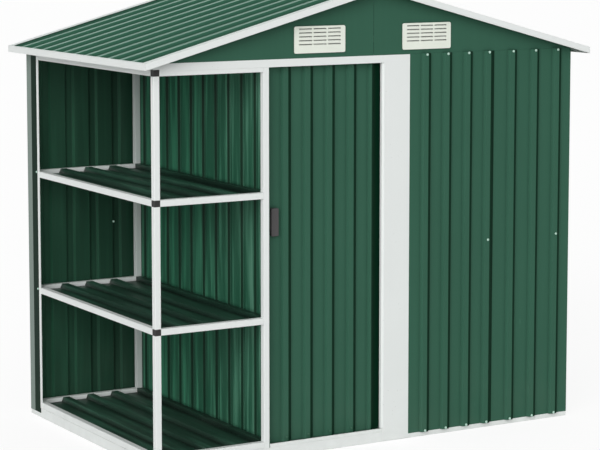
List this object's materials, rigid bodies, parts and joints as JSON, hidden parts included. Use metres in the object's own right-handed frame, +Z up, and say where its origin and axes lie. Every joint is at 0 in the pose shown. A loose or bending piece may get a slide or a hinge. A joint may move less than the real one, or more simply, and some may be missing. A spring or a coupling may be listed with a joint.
{
  "type": "metal storage shed",
  "caption": "Gable-roofed garden shed of ribbed sheet steel with a sliding door and an open three-shelf rack on its left side.",
  "frame": {"origin": "centre of the bounding box, at the ground under the base rails", "axes": "+X along the front, from the rack towards the room; +Y from the front to the back; +Z up"},
  "size_m": [2.052, 1.298, 1.8391],
  "materials": {
    "wall_green": "satin dark green paint",
    "roof_green": "satin dark green paint",
    "white_steel": "satin white powder coat",
    "grey_steel": "matt grey-green coating",
    "black_plastic": "moulded black",
    "handle_plastic": "moulded dark grey",
    "glide_plastic": "moulded light grey",
    "vent_plastic": "moulded cream white"
  },
  "bodies": {
    "shed": {"front_wall_inner": "wall_green", "front_wall_corner": "wall_green", "right_wall": "wall_green", "shed_back_wall": "wall_green", "rack_back_wall": "wall_green", "partition_wall": "wall_green", "gable_front": "wall_green", "gable_back": "wall_green", "rack_corner_panel": "wall_green", "shelf_bottom": "wall_green", "shelf_lower": "wall_green", "shelf_upper": "wall_green", "roof_left": "roof_green", "roof_right": "roof_green", "ridge_cap": "roof_green", "base_rail_front": "white_steel", "base_rail_back": "white_steel", "base_rails_side": "white_steel", "base_rail_partition": "white_steel", "rack_ring_bottom": "white_steel", "rack_ring_lower": "white_steel", "rack_ring_upper": "white_steel", "rack_ring_top": "white_steel", "rack_posts_front": "white_steel", "rack_posts_back": "white_steel", "rack_corner_trim": "white_steel", "beam_front": "white_steel", "beam_back": "white_steel", "beams_side": "white_steel", "beam_partition": "white_steel", "corner_posts": "white_steel", "door_stile": "white_steel", "door_tracks": "white_steel", "eave_trims": "white_steel", "verge_trim_front": "white_steel", "verge_trim_back": "white_steel", "ridge_beam": "white_steel", "rack_corner_angle": "grey_steel", "rack_connectors": "black_plastic", "vents": "vent_plastic"},
    "door": {"door_panel": "wall_green", "door_rails": "wall_green", "door_glides": "glide_plastic", "door_handle": "handle_plastic"}
  },
  "joints": [
    {"name": "door_slide", "type": "slide", "parent": "shed", "child": "door", "axis": [1, 0, 0], "range_m": [0, 0.455]}
  ]
}
